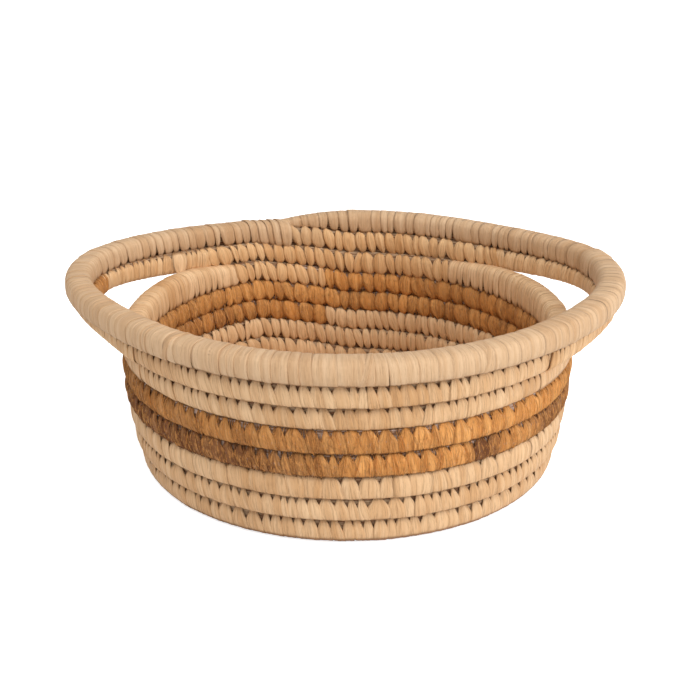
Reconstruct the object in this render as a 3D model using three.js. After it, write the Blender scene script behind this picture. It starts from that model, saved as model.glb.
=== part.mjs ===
// A coiled bread basket with two handles.
// One long rope of grass winds out from a knot in the middle of the base, climbs the wall row on row,
// and leaves the wall at both sides as the handles. Strips of palm leaf and of bark are wrapped and
// stitched over it all the way, and each strip binds a row to the row below.
import * as THREE from "three";

// Sizes are in millimetres. Angles are in degrees from +X towards +Y, seen from above.
// +X points along the handles and -Y to the front.
const FOOT_RADIUS = 106; // axis to the middle of the bottom row
const WALL_RADIUS = 114.5; // axis to the middle of the highest wall row below the handles
const WALL_FLARE = 2; // how the wall swings out: 1 is a straight cone, more is rounder
const UNDER_RIM_RADIUS = 118.5; // axis to the middle of the row below the rim, away from the handles
const RIM_RADIUS = 120.5;
const COIL_WIDTH = 12; // across the wrapped rope, through the wall
const ROW_HEIGHT = 12; // a row wrapped in palm leaf
const BARK_ROW_HEIGHT = 12.4;
const RIM_WIDTH = 14;
const RIM_HEIGHT = 12.4;
const ROW_GAP = 0.4; // between one row and the next, and between two strips on one row
const WRAP_THICKNESS = 1.3;
const WRAP_CLEARANCE = 0.3; // between the grass and its wrap
const KNOT_RADIUS = 4; // the room that the first turn leaves for the knot
const KNOT_HEIGHT = 9;

const LOWER_ROWS = 3;
const BARK_ROWS = 2;
const UPPER_ROWS = 1;

// The rows lie level, and each steps up onto the next within a short stretch at the back. In the base
// a turn steps out a little further on, so that the row above has climbed clear of it.
const STEP_MIDDLE = 105;
const BASE_STEP_MIDDLE = 120;
const STEP_SPAN = 30;
const STRIP_JOIN = 97.5; // where the strips of one row end and those of the next begin

// A handle is a stretch of the two top rows that swings out from the wall. The rim row and the row
// below it have their own reach beyond the wall, and their own spread to the back and to the front.
const LEFT_HANDLE = {
  middle: 170,
  rim: { reach: 23.5, backSpread: 19, frontSpread: 21.7, width: 15 },
  underRim: { reach: 22, backSpread: 15, frontSpread: 17, width: 12 },
  start: 138,
  end: 212,
};
const RIGHT_HANDLE = {
  middle: 371,
  rim: { reach: 20.3, backSpread: 17.5, frontSpread: 25, width: 13.2 },
  underRim: { reach: 19.3, backSpread: 17, frontSpread: 19, width: 12 },
  start: 322,
  end: 400,
};

// Where a handle has left the wall, the row it leaves bare is wrapped all round and stands higher,
// and the handle's lower row is thinner from below.
const BARE_ROW_RISE = 2;
const HANDLE_ROW_THINNING = 1.5;

// The two top rows dip a little at the back, where the rope steps up and its end tapers off.
const DIP = { middle: 117, spread: 14, rim: 2.6, underRim: 1.2 };

// The rope starts thin beside the knot, and the rim thins out to its end.
const START_THICKNESS = 6;
const START_TIP_THICKNESS = 3.5;
const END_TIP_THICKNESS = 3.2;
const LEAST_BORE_THICKNESS = 5.4;

// How finely the rope is drawn: sides round it, and degrees from one section to the next.
const WRAP_SIDES = 8;
const ROPE_SIDES = 6;
const KNOT_SIDES = 12;
const KNOT_STEP = 30; // beside the knot
const KNOT_TURNS = 3;
const ROW_STEP = 15;
const TOP_STEP = 7.5; // in the rows of the handles and the row below them
const LEAST_STEP = 0.5;

const TURN = 360;

// Rows are counted outwards and upwards: turn 0 lies beside the knot, and the last is the rim.
const COIL_PITCH = COIL_WIDTH + ROW_GAP;
const FOOT_TURN = Math.round((FOOT_RADIUS - KNOT_RADIUS) / COIL_PITCH - 0.5);
const BASE_PITCH = (FOOT_RADIUS - COIL_PITCH / 2 - KNOT_RADIUS) / FOOT_TURN;
const BARK_TURN = FOOT_TURN + LOWER_ROWS;
const UPPER_TURN = BARK_TURN + BARK_ROWS;
const UNDER_RIM_TURN = UPPER_TURN + UPPER_ROWS;
const RIM_TURN = UNDER_RIM_TURN + 1;
const TOP_START = TURN * (UNDER_RIM_TURN - 1) + STEP_MIDDLE;

const palm = { color: 0xd8bd90, roughness: 0.8, metalness: 0 };
const rimPalm = { color: 0xe0c79c, roughness: 0.75, metalness: 0 };
const upperBark = { color: 0xb8742e, roughness: 0.7, metalness: 0 };
const lowerBark = { color: 0x82583a, roughness: 0.75, metalness: 0 };
const grass = { color: 0xb7a582, roughness: 0.9, metalness: 0 };

const mix = (a, b, t) => a + (b - a) * t;
const limit = (value, low, high) => Math.min(Math.max(value, low), high);
const degreesAlong = (length, radius) => THREE.MathUtils.radToDeg(length / radius);

// The step up is short on the wall and in the outer turns of the base, and spreads out to a whole
// turn, as in a plain spiral, beside the knot.
function stepSpan(turn) {
  return TURN * (STEP_SPAN / TURN) ** limit(turn / FOOT_TURN, 0, 1);
}

// The turn that the rope is on at an angle counted from the knot, and how far it has stepped to it.
// The wall's steps begin half a turn after the last one of the base.
function stepAt(angle) {
  const onWall = angle > TURN * (FOOT_TURN + 0.5) + BASE_STEP_MIDDLE;
  const stepMiddle = onWall ? STEP_MIDDLE : BASE_STEP_MIDDLE;
  const turn = Math.floor((angle - stepMiddle) / TURN + 0.5);
  const past = angle - stepMiddle - TURN * turn;
  return { turn, done: limit(past / stepSpan(turn) + 0.5, 0, 1) };
}

function baseEdge(angle) {
  const { turn, done } = stepAt(angle);
  return KNOT_RADIUS + BASE_PITCH * Math.max(turn - 1 + done, 0);
}

function rowHeight(turn) {
  if (turn >= RIM_TURN) return RIM_HEIGHT;
  return turn >= BARK_TURN && turn < UPPER_TURN ? BARK_ROW_HEIGHT : ROW_HEIGHT;
}

function rowBottom(turn) {
  let bottom = 0;
  for (let below = FOOT_TURN; below < turn; below += 1) bottom += rowHeight(below) + ROW_GAP;
  return bottom;
}

const rowMiddle = (turn) => rowBottom(turn) + rowHeight(turn) / 2;

// The heights between which a row lies at this angle.
function rowEdges(turn, angle) {
  const dip = swell(anglePast(angle, DIP.middle), DIP.spread);
  const clear = clearOfWall(angle);
  let bottom = rowBottom(turn);
  let top = bottom + rowHeight(turn);
  if (turn === RIM_TURN) {
    bottom -= dip * DIP.rim;
    top -= dip * DIP.rim;
  } else if (turn === UNDER_RIM_TURN) {
    bottom += clear * HANDLE_ROW_THINNING - dip * DIP.underRim;
    top -= dip * DIP.rim;
  } else if (turn === UNDER_RIM_TURN - 1) {
    top += clear * BARE_ROW_RISE - dip * DIP.underRim;
  }
  return { bottom, top };
}

function wallRadius(turn) {
  if (turn === RIM_TURN) return RIM_RADIUS;
  if (turn === UNDER_RIM_TURN) return UNDER_RIM_RADIUS;
  const below = rowMiddle(UNDER_RIM_TURN - 1) - rowMiddle(turn);
  const wall = rowMiddle(UNDER_RIM_TURN - 1) - rowMiddle(FOOT_TURN);
  return WALL_RADIUS - (WALL_RADIUS - FOOT_RADIUS) * (below / wall) ** WALL_FLARE;
}

const halfTurn = TURN / 2;
const anglePast = (angle, from) => THREE.MathUtils.euclideanModulo(angle - from + halfTurn, TURN) - halfTurn;
const swell = (past, spread) => Math.exp(-0.5 * (past / spread) ** 2);

// How far into a handle this angle lies: 1 at its middle and 0 well away from it.
function handleShare(handle, row, angle) {
  const past = anglePast(angle, handle.middle);
  const front = handle === LEFT_HANDLE ? past > 0 : past < 0;
  return swell(past, front ? handle[row].frontSpread : handle[row].backSpread);
}

const handleRow = (turn) => (turn >= RIM_TURN ? "rim" : "underRim");

// How far the handles carry a row out beyond the wall at this angle.
function bulge(turn, angle) {
  if (turn < UNDER_RIM_TURN) return 0;
  const row = handleRow(turn);
  const reach = (handle) => handle[row].reach * handleShare(handle, row, angle);
  return reach(LEFT_HANDLE) + reach(RIGHT_HANDLE);
}

function rowWidth(turn, angle) {
  if (turn < UNDER_RIM_TURN) return COIL_WIDTH;
  const row = handleRow(turn);
  const plain = turn >= RIM_TURN ? RIM_WIDTH : COIL_WIDTH;
  const wider = (handle) => (handle[row].width - plain) * handleShare(handle, row, angle);
  return plain + wider(LEFT_HANDLE) + wider(RIGHT_HANDLE);
}

// How clear of the wall a handle's lower row is: 0 until it is half way out, and 1 at its middle.
function clearOfWall(angle) {
  const shares = [LEFT_HANDLE, RIGHT_HANDLE].map((handle) => handleShare(handle, "underRim", angle));
  return limit(2 * Math.max(...shares) - 1, 0, 1);
}

// The wrapped rope at one angle: the middle and half sizes of its upright section.
function shape(angle) {
  const { turn, done } = stepAt(angle);
  if (turn <= FOOT_TURN) {
    const inner = baseEdge(angle);
    const outer = turn < FOOT_TURN ? baseEdge(angle + TURN) : inner + mix(BASE_PITCH, COIL_PITCH, done);
    const width = outer - inner - ROW_GAP;
    const height = turn > 0 ? ROW_HEIGHT : ROW_HEIGHT * limit(width / (BASE_PITCH - ROW_GAP), 0, 1);
    return { radius: (inner + outer) / 2, middle: height / 2, halfWidth: width / 2, halfHeight: height / 2 };
  }
  const from = turn - 1;
  const fromEdges = rowEdges(from, angle);
  if (turn > RIM_TURN) {
    const bottom = mix(fromEdges.bottom, fromEdges.top + ROW_GAP, done);
    const height = fromEdges.top - bottom;
    const thinned = mix(END_TIP_THICKNESS, RIM_WIDTH, limit(height / RIM_HEIGHT, 0, 1));
    return {
      radius: RIM_RADIUS + bulge(RIM_TURN, angle),
      middle: bottom + height / 2,
      halfWidth: thinned / 2,
      halfHeight: height / 2,
    };
  }
  const toEdges = rowEdges(turn, angle);
  const bottom = mix(fromEdges.bottom, toEdges.bottom, done);
  const top = mix(fromEdges.top, toEdges.top, done);
  return {
    radius: mix(wallRadius(from) + bulge(from, angle), wallRadius(turn) + bulge(turn, angle), done),
    middle: (bottom + top) / 2,
    halfWidth: mix(rowWidth(from, angle), rowWidth(turn, angle), done) / 2,
    halfHeight: (top - bottom) / 2,
  };
}

function sectionStep(angle) {
  if (angle > TOP_START) return TOP_STEP;
  return stepAt(angle).turn < KNOT_TURNS ? KNOT_STEP : ROW_STEP;
}

function section(angle) {
  const { radius, middle, halfWidth, halfHeight } = shape(angle);
  const across = THREE.MathUtils.degToRad(angle);
  const outward = new THREE.Vector3(Math.cos(across), Math.sin(across), 0);
  const centre = outward.clone().multiplyScalar(radius).setZ(middle);
  if (angle > TOP_START + TURN + STEP_SPAN) {
    const growth = shape(angle + LEAST_STEP).radius - shape(angle - LEAST_STEP).radius;
    const slope = growth / THREE.MathUtils.degToRad(2 * LEAST_STEP) / radius;
    outward.applyAxisAngle(new THREE.Vector3(0, 0, 1), -Math.atan(slope));
  }
  return { centre, outward, halfWidth, halfHeight };
}

// A section between two drawn ones lies on the straight run that joins them.
function sectionAt(angle) {
  const step = sectionStep(angle);
  const before = Math.floor(angle / step) * step;
  if (angle === before) return section(angle);
  const a = section(before);
  const b = section(before + step);
  const t = (angle - before) / step;
  return {
    centre: a.centre.clone().lerp(b.centre, t),
    outward: a.outward.clone().lerp(b.outward, t),
    halfWidth: mix(a.halfWidth, b.halfWidth, t),
    halfHeight: mix(a.halfHeight, b.halfHeight, t),
  };
}

function sectionAngles(from, to) {
  const angles = [from];
  let next = (Math.floor(from / sectionStep(from)) + 1) * sectionStep(from);
  while (next < to - LEAST_STEP) {
    if (next > from + LEAST_STEP) angles.push(next);
    next += sectionStep(next);
  }
  return [...angles, to];
}

// A ring of points round the rope, flat above and below, inset from the outside of the wrap.
function ring(at, sides, inset) {
  const turned = sides % 4 === 0 ? 0.5 : 0;
  const corner = 1 / Math.cos(Math.PI / sides);
  return Array.from({ length: sides }, (_, i) => {
    const a = ((i + turned) / sides) * 2 * Math.PI;
    const side = (at.halfWidth - inset) * corner * Math.cos(a);
    const up = (at.halfHeight - inset) * corner * Math.sin(a);
    return at.centre.clone().addScaledVector(at.outward, side).add(new THREE.Vector3(0, 0, up));
  });
}

// Closed skins from rings of points, collected as loose triangles.
class Skin {
  constructor() {
    this.points = [];
  }

  triangle(a, b, c, inwards) {
    const corners = inwards ? [a, c, b] : [a, b, c];
    for (const p of corners) this.points.push(p.x, p.y, p.z);
  }

  wall(rings, inwards) {
    for (let k = 0; k + 1 < rings.length; k += 1) {
      const [here, there] = [rings[k], rings[k + 1]];
      here.forEach((a, i) => {
        const next = (i + 1) % here.length;
        this.triangle(a, there[i], there[next], inwards);
        this.triangle(a, there[next], here[next], inwards);
      });
    }
  }

  cap(points, forwards) {
    for (let i = 1; i + 1 < points.length; i += 1) {
      this.triangle(points[0], points[i], points[i + 1], forwards);
    }
  }

  // The flat end between an outer ring of eight points and an inner ring of six.
  end(outer, inner, forwards) {
    let [i, j] = [0, 0];
    while (i < outer.length || j < inner.length) {
      const outerNext = (i + 1.5) / outer.length;
      const innerNext = (j + 1) / inner.length;
      const a = outer[i % outer.length];
      const b = inner[j % inner.length];
      if (i < outer.length && (j >= inner.length || outerNext <= innerNext)) {
        i += 1;
        this.triangle(a, outer[i % outer.length], b, forwards);
      } else {
        j += 1;
        this.triangle(a, inner[j % inner.length], b, forwards);
      }
    }
  }

  geometry() {
    const made = new THREE.BufferGeometry();
    made.setAttribute("position", new THREE.Float32BufferAttribute(this.points, 3));
    made.computeVertexNormals();
    return made;
  }
}

// A wrap is a sleeve round the rope from one angle to another. Its bore can stop short of a thin tip.
function wrap(from, to, { boreFrom = from, boreTo = to, joinBefore = true, joinAfter = true } = {}) {
  const halfGap = (angle) => degreesAlong(ROW_GAP / 2, shape(angle).radius);
  const first = joinBefore ? from + halfGap(from) : from;
  const last = joinAfter ? to - halfGap(to) : to;
  const outer = sectionAngles(first, last).map((a) => ring(sectionAt(a), WRAP_SIDES, 0));
  const bored = sectionAngles(Math.max(first, boreFrom), Math.min(last, boreTo));
  const inner = bored.map((a) => ring(sectionAt(a), ROPE_SIDES, WRAP_THICKNESS));
  const skin = new Skin();
  skin.wall(outer, false);
  skin.wall(inner, true);
  if (boreFrom > first) {
    skin.cap(outer[0], false);
    skin.cap(inner[0], true);
  } else {
    skin.end(outer[0], inner[0], false);
  }
  if (boreTo < last) {
    skin.cap(outer.at(-1), true);
    skin.cap(inner.at(-1), false);
  } else {
    skin.end(outer.at(-1), inner.at(-1), true);
  }
  return skin.geometry();
}

function rope(from, to) {
  const inset = WRAP_THICKNESS + WRAP_CLEARANCE;
  const rings = sectionAngles(from, to).map((a) => ring(sectionAt(a), ROPE_SIDES, inset));
  const skin = new Skin();
  skin.wall(rings, false);
  skin.cap(rings[0], false);
  skin.cap(rings.at(-1), true);
  return { geometry: skin.geometry(), rings };
}

// The least distance between a point of the rope and any other turn of it.
function leastSelfGap(rings) {
  const beside = 4; // rings this near along the rope belong to the same stretch
  const near = 3 * COIL_WIDTH;
  let least = Infinity;
  rings.forEach((ringA, i) => {
    const centre = new THREE.Vector3();
    ringA.forEach((p) => centre.addScaledVector(p, 1 / ringA.length));
    rings.slice(i + beside).forEach((ringB) => {
      if (ringB[0].distanceTo(centre) > near) return;
      ringA.forEach((p) => ringB.forEach((q) => (least = Math.min(least, p.distanceTo(q)))));
    });
  });
  return least;
}

// The angle within a turn at which the shape first passes a test, searched in small steps.
function findAngle(from, to, passes) {
  const step = 0.25;
  let angle = from;
  while (angle < to && !passes(shape(angle))) angle += step;
  return angle;
}

const thickness = (at) => 2 * Math.min(at.halfWidth, at.halfHeight);

const basket = new THREE.Group();

function add(name, geometry, finish) {
  const mesh = new THREE.Mesh(geometry, new THREE.MeshStandardMaterial({ ...finish, flatShading: true }));
  mesh.name = name;
  basket.add(mesh);
  return mesh;
}

const joinOf = (turn) => TURN * turn + STRIP_JOIN;

// The start: the knot, and the thin first stretch of rope that curls round it.
function makeStart() {
  const radius = KNOT_RADIUS - ROW_GAP / 2;
  const flatRadius = radius * 0.7;
  const outline = [
    new THREE.Vector2(0, 0),
    new THREE.Vector2(flatRadius, 0),
    new THREE.Vector2(radius, KNOT_HEIGHT / 4),
    new THREE.Vector2(radius, (KNOT_HEIGHT * 2) / 3),
    new THREE.Vector2(flatRadius, KNOT_HEIGHT),
    new THREE.Vector2(0, KNOT_HEIGHT),
  ];
  const knot = new THREE.LatheGeometry(outline, KNOT_SIDES).rotateX(Math.PI / 2);
  add("centre_knot", knot, palm);
  const search = [BASE_STEP_MIDDLE - stepSpan(1) / 2, BASE_STEP_MIDDLE + stepSpan(1) / 2];
  const tip = findAngle(...search, (at) => thickness(at) >= START_TIP_THICKNESS);
  const ropeTip = findAngle(...search, (at) => thickness(at) >= START_THICKNESS);
  add("start_wrap", wrap(tip, joinOf(1), { boreFrom: ropeTip, joinBefore: false }), palm);
  return ropeTip;
}

function makeBase() {
  for (let turn = 1; turn < FOOT_TURN; turn += 1) {
    add(`base_wrap_${turn}`, wrap(joinOf(turn), joinOf(turn + 1)), palm);
  }
}

function makeWall() {
  const rows = [
    ["foot_row_wrap", FOOT_TURN, 1, palm],
    ["lower_row_wrap", FOOT_TURN + 1, LOWER_ROWS - 1, palm],
    ["bark_row_wrap", BARK_TURN, BARK_ROWS, lowerBark],
    ["shoulder_row_wrap", UPPER_TURN, UPPER_ROWS, palm],
  ];
  for (const [name, first, count, finish] of rows) {
    for (let i = 0; i < count; i += 1) {
      const turn = first + i;
      const numbered = count > 1 ? `${name}_${i + 1}` : name;
      const topBark = finish === lowerBark && i === count - 1;
      add(numbered, wrap(joinOf(turn), joinOf(turn + 1)), topBark ? upperBark : finish);
    }
  }
}

// The two top rows are wrapped in five stretches each: a handle at each side, and what lies between.
function makeTop() {
  const rows = [
    ["under_rim", "lower", UNDER_RIM_TURN, palm],
    ["rim", "upper", RIM_TURN, rimPalm],
  ];
  const thinning = TURN * (RIM_TURN + 1) + STEP_MIDDLE - STEP_SPAN / 2;
  for (const [row, place, turn, finish] of rows) {
    const whole = TURN * turn;
    const stretches = [
      [`${row}_back_left_wrap`, joinOf(turn), whole + LEFT_HANDLE.start],
      [`left_handle_${place}_wrap`, whole + LEFT_HANDLE.start, whole + LEFT_HANDLE.end],
      [`${row}_front_wrap`, whole + LEFT_HANDLE.end, whole + RIGHT_HANDLE.start],
      [`right_handle_${place}_wrap`, whole + RIGHT_HANDLE.start, whole + RIGHT_HANDLE.end],
    ];
    for (const [name, from, to] of stretches) add(name, wrap(from, to), finish);
    const last = turn === RIM_TURN ? thinning : joinOf(turn + 1);
    add(`${row}_back_wrap`, wrap(whole + RIGHT_HANDLE.end, last), finish);
  }
  const tip = findAngle(thinning, thinning + STEP_SPAN, (at) => thickness(at) <= END_TIP_THICKNESS);
  const ropeTip = findAngle(thinning, tip, (at) => thickness(at) <= LEAST_BORE_THICKNESS);
  add("rim_end_wrap", wrap(thinning, tip, { boreTo: ropeTip, joinAfter: false }), rimPalm);
  return ropeTip;
}

const ropeStart = makeStart();
makeBase();
makeWall();
const ropeEnd = makeTop();
// The rope stops a little inside the blind ends of its wraps.
const core = rope(
  ropeStart + degreesAlong(WRAP_CLEARANCE * 2, KNOT_RADIUS),
  ropeEnd - degreesAlong(WRAP_CLEARANCE * 2, RIM_RADIUS),
);
add("grass_rope", core.geometry, grass);
console.log(`least gap of the grass rope to itself: ${leastSelfGap(core.rings).toFixed(2)} mm`);

export default basket;
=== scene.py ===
"""A coiled bread basket: one grass rope wound in rows, and bound all over with straps of palm leaf and bark.

Sizes are in metres. Angles are in degrees from +X towards +Y, seen from above, and go on counting from
turn to turn of the rope, from the knot in the middle of the base to the end of the rim.
"""

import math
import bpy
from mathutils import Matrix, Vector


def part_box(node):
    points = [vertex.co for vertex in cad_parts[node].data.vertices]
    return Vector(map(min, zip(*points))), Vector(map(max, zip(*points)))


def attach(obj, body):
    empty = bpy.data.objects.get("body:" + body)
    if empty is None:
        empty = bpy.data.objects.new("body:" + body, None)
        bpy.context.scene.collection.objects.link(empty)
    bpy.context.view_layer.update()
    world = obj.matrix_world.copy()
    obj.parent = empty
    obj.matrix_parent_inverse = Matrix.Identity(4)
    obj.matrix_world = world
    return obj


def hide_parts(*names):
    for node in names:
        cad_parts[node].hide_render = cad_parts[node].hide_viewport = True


bl_info = {
    "name": "Coiled Bread Basket",
    "version": (1, 0, 0),
    "blender": (4, 5, 0),
    "location": "View3D > Sidebar > Basket",
    "description": "Straps of palm leaf and bark over the rope of a coiled bread basket",
    "category": "Add Mesh",
}

from dataclasses import dataclass, replace

import bpy
import numpy as np
from bpy.props import FloatProperty, FloatVectorProperty, PointerProperty
from bpy.types import Operator, Panel, PropertyGroup
from mathutils import Vector

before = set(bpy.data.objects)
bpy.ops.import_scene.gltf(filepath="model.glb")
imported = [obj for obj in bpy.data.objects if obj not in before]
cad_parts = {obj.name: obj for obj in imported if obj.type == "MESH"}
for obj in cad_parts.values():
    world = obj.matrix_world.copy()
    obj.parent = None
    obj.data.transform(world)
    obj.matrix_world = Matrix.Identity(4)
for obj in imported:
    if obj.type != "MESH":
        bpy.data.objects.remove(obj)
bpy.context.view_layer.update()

MM = 0.001
TURN = 360.0
BODY = "root"

# The route of the rope
KNOT_RADIUS = 4 * MM
ROW_GAP = 0.4 * MM
WALL_FLARE = 2.6
LOWER_ROWS = 3
BARK_ROWS = 2
UPPER_ROWS = 1
STEP_MIDDLE = 105
BASE_STEP_MIDDLE = 120
STEP_SPAN = 30
STRIP_JOIN = 97.5
SLOPE_STEP = 0.5
BARE_ROW_RISE = 2 * MM
HANDLE_ROW_THINNING = 2.4 * MM
SHOULDER_BULGE = 3.6 * MM  # how far the row below a handle rises at the back end of its gap
FRONT = 270  # the angle of the basket's front
FRONT_FLATNESS = 3 * MM  # how far the foot is pressed in at the front
FRONT_SPREAD = 38
FLAT_BELOW = 62 * MM  # above this height the front isn't pressed in
DIP_MIDDLE = 117
DIP_SPREAD = 14
RIM_DIP = 2.6 * MM
UNDER_RIM_DIP = 1.2 * MM
END_TIP_THICKNESS = 3.2 * MM
END_SINK = 4 * MM
END_TIP = 110  # where the tapered end of the rope disappears under its last bindings

# A handle's rows swing out about its middle, by their own reach and spread to the back and to the front.
# Its bulge is where the row below it rises.
LEFT_HANDLE = {
    "middle": 170,
    "front_is": 1,
    "start": 138,
    "end": 212,
    "bulge": 149,
    "bulge_spread": 11,
    "rim": {"reach": 24.4 * MM, "back": 19, "front": 21.7, "width": 13 * MM},
    "under_rim": {"reach": 25.2 * MM, "back": 16, "front": 16, "width": 11.2 * MM},
}
RIGHT_HANDLE = {
    "middle": 371,
    "front_is": -1,
    "start": 322,
    "end": 400,
    "bulge": 392,
    "bulge_spread": 14,
    "rim": {"reach": 21 * MM, "back": 17.5, "front": 25, "width": 11.8 * MM},
    "under_rim": {"reach": 22.6 * MM, "back": 17, "front": 19.5, "width": 11 * MM},
}
HANDLES = (LEFT_HANDLE, RIGHT_HANDLE)


def length(name, description, default):
    """A length that a user can change."""
    return FloatProperty(name=name, description=description, default=default, unit="LENGTH")


def colour(name, description, default):
    """A colour that a user can change, as linear red, green and blue."""
    return FloatVectorProperty(
        name=name, description=description, default=default, subtype="COLOR", min=0, max=1
    )


class BasketSizes(PropertyGroup):
    """The sizes of the rope's rows."""

    foot_radius: length("Foot radius", "From the axis to the middle of the bottom row", 107.3 * MM)
    wall_radius: length(
        "Wall radius", "From the axis to the middle of the highest row below the handles", 113.4 * MM
    )
    under_rim_radius: length(
        "Under-rim radius", "From the axis to the middle of the row below the rim", 117.5 * MM
    )
    rim_radius: length("Rim radius", "From the axis to the middle of the rim row", 120.5 * MM)
    coil_width: length("Rope width", "Across the wrapped rope, through the wall", 12 * MM)
    foot_height: length("Foot height", "Height of the row that the basket stands on", 13.8 * MM)
    row_height: length("Row height", "Height of a row wrapped in palm leaf", 12 * MM)
    bark_row_height: length("Bark row height", "Height of a row wrapped in bark", 11.8 * MM)
    rim_width: length("Rim width", "Across the rim row", 14 * MM)
    rim_height: length("Rim height", "Height of the rim row", 11.8 * MM)


class StrapSizes(PropertyGroup):
    """The sizes of the straps."""

    palm_pitch: length("Palm strap pitch", "From one palm strap to the next, outside the wall", 5.1 * MM)
    bark_pitch: length("Bark strap pitch", "From one bark strap to the next, outside the wall", 6.4 * MM)
    inside_pitch: length("Inside pitch", "From one strap to the next, inside the wall", 6.3 * MM)
    rim_pitch: length("Rim strap pitch", "From one strap to the next on the rim", 5.8 * MM)
    ring_pitch: length(
        "Ring pitch", "From one turn of leaf to the next round the lower rows of the handles", 4.2 * MM
    )
    thickness: length("Strap thickness", "Thickness of a strap at its edges", 0.5 * MM)


class BasketColours(PropertyGroup):
    """The colours of the leaf, the bark and the grass."""

    palm_light: colour("Palm light", "Palm leaf where it is palest", (0.84, 0.57, 0.33))
    palm_deep: colour("Palm deep", "Palm leaf where it is deepest", (0.62, 0.345, 0.155))
    rim_light: colour("Rim light", "Rim leaf where it is palest", (0.72, 0.495, 0.30))
    rim_deep: colour("Rim deep", "Rim leaf where it is deepest", (0.55, 0.325, 0.165))
    # also the colour of the painted shade at the strap ends and under the foot
    leaf_crease: colour("Leaf crease", "Dark edges and creases of a leaf", (0.28, 0.13, 0.05))
    bark_gold: colour("Bark gold", "Golden bark", (0.92, 0.46, 0.15))
    bark_amber: colour("Bark amber", "Orange-brown bark", (0.62, 0.235, 0.05))
    bark_dark: colour("Bark dark", "Dark grey-brown bark", (0.19, 0.07, 0.024))
    bark_glint: colour("Bark glint", "Pale grey-mauve specks in the bark", (0.55, 0.40, 0.32))
    grass_light: colour("Grass light", "Grass stems that catch light", (0.50, 0.34, 0.21))
    # painted shade: grass stems darkened as if deep in the gaps
    grass_shaded: colour("Grass deep", "Grass in the gaps", (0.22, 0.115, 0.06))


def mix(a, b, share):
    return a + (b - a) * share


def angle_past(angle, start):
    """How far an angle lies past another, from half a turn before it to half a turn after."""
    return (angle - start + TURN / 2) % TURN - TURN / 2


def swell(past, spread):
    return np.exp(-0.5 * (past / spread) ** 2)


def handle_share(handle, row, angle):
    """How far into a handle an angle lies: 1 at its middle and 0 well away from it."""
    past = angle_past(angle, handle["middle"])
    in_front = past * handle["front_is"] > 0
    return swell(past, np.where(in_front, handle[row]["front"], handle[row]["back"]))


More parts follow.
